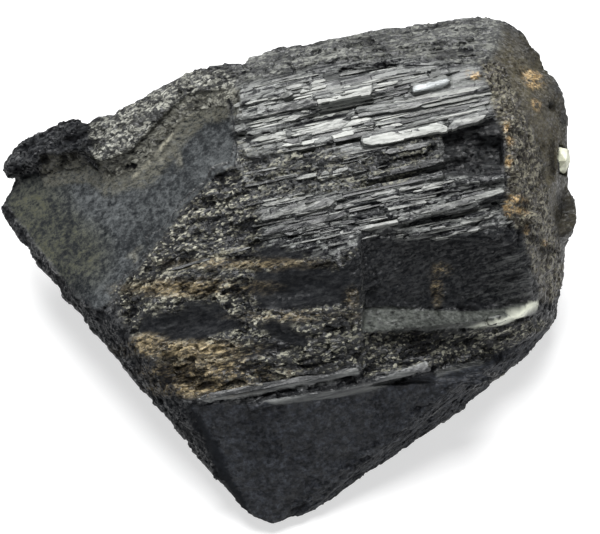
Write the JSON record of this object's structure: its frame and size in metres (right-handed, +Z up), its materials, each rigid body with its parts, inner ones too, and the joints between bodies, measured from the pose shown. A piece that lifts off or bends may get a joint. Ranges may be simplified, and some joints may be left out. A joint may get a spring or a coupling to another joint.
{
  "type": "tourmaline crystal",
  "caption": "Broken chunk of black tourmaline with lengthwise striations, a grey fracture face and a small feldspar grain, lying on a flat fracture.",
  "frame": {"origin": "middle of the box of the chunk, on the surface that it lies on", "axes": "+X along the chunk's length towards its blunt end, +Z up, -Y towards the side with the ledge"},
  "size_m": [0.0619, 0.0492, 0.0281],
  "materials": {
    "schorl": "vitreous splinters on a dull, gritty black ground",
    "feldspar": "matt cream"
  },
  "bodies": {
    "root": {"tourmaline_crystal": "schorl", "feldspar_grain": "feldspar"}
  },
  "joints": []
}
